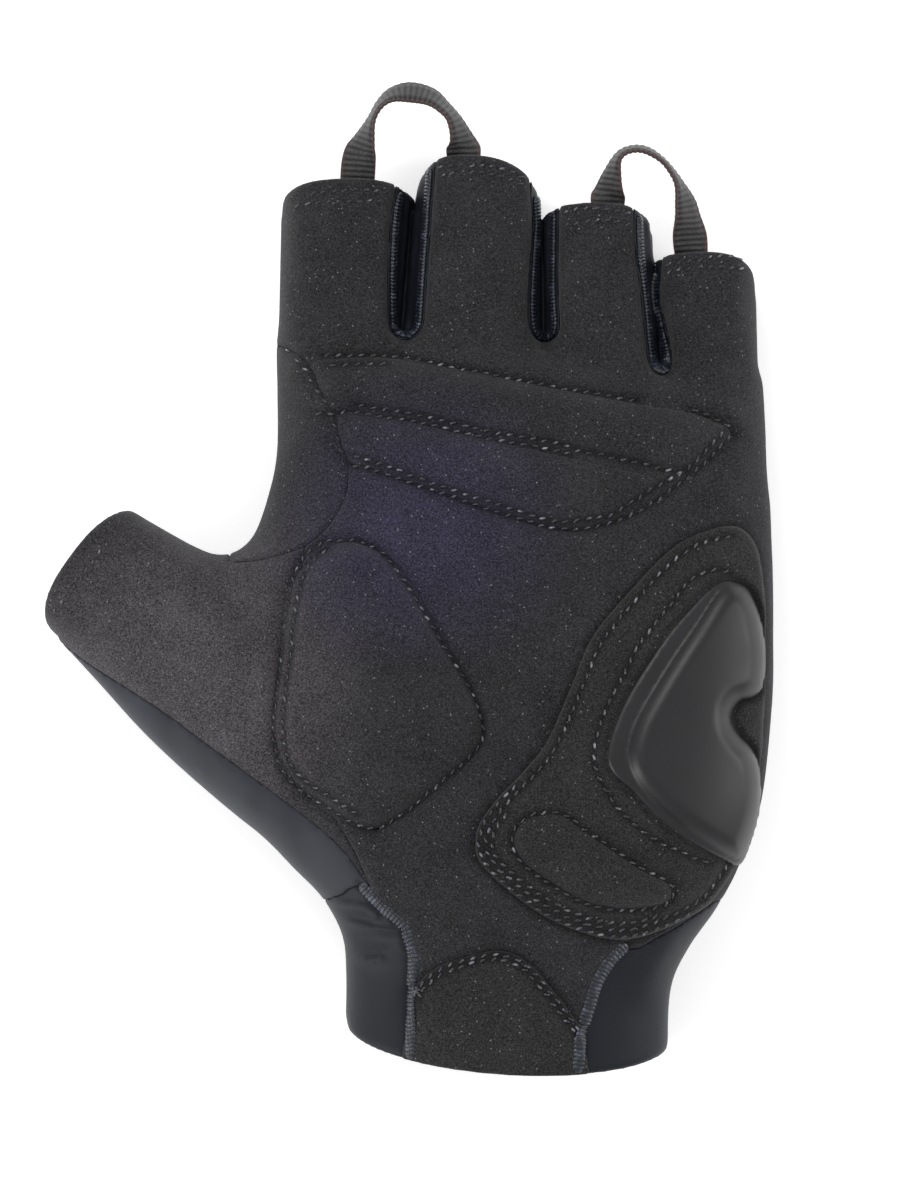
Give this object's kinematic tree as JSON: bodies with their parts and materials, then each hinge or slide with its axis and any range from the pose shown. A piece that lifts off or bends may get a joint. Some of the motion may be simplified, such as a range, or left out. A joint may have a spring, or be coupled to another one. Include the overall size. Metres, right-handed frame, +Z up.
{
  "type": "cycling glove",
  "caption": "Fingerless left-hand glove with a suede palm, stitched pads, a moulded gel pad and two ribbon tabs that pull it off.",
  "frame": {"origin": "on the floor, under the middle of the glove as it lies on its back", "axes": "+Y along the fingers, -X towards the thumb, +Z up, out of the palm"},
  "size_m": [0.1346, 0.1834, 0.0387],
  "materials": {
    "suede": "brushed synthetic suede, charcoal black",
    "stretch": "smooth stretch knit, blue-black",
    "thread": "overlocked thread cord",
    "gel": "satin moulded skin over gel",
    "ribbon": "ribbed woven ribbon"
  },
  "bodies": {
    "root": {"palm_panel": "suede", "index_gusset": "suede", "thumb_panel": "suede", "heel_patch": "suede", "knuckle_pad_upper": "suede", "knuckle_pad_lower": "suede", "thumb_pad": "suede", "palm_patch": "suede", "heel_pad": "suede", "back_panel": "stretch", "cuff_band": "stretch", "fourchette_index_middle": "stretch", "fourchette_middle_ring": "stretch", "fourchette_ring_little": "stretch", "cuff_binding_left": "thread", "cuff_binding_right": "thread", "gel_pad": "gel", "pull_tab_index_middle": "ribbon", "pull_tab_ring_little": "ribbon"}
  },
  "joints": []
}
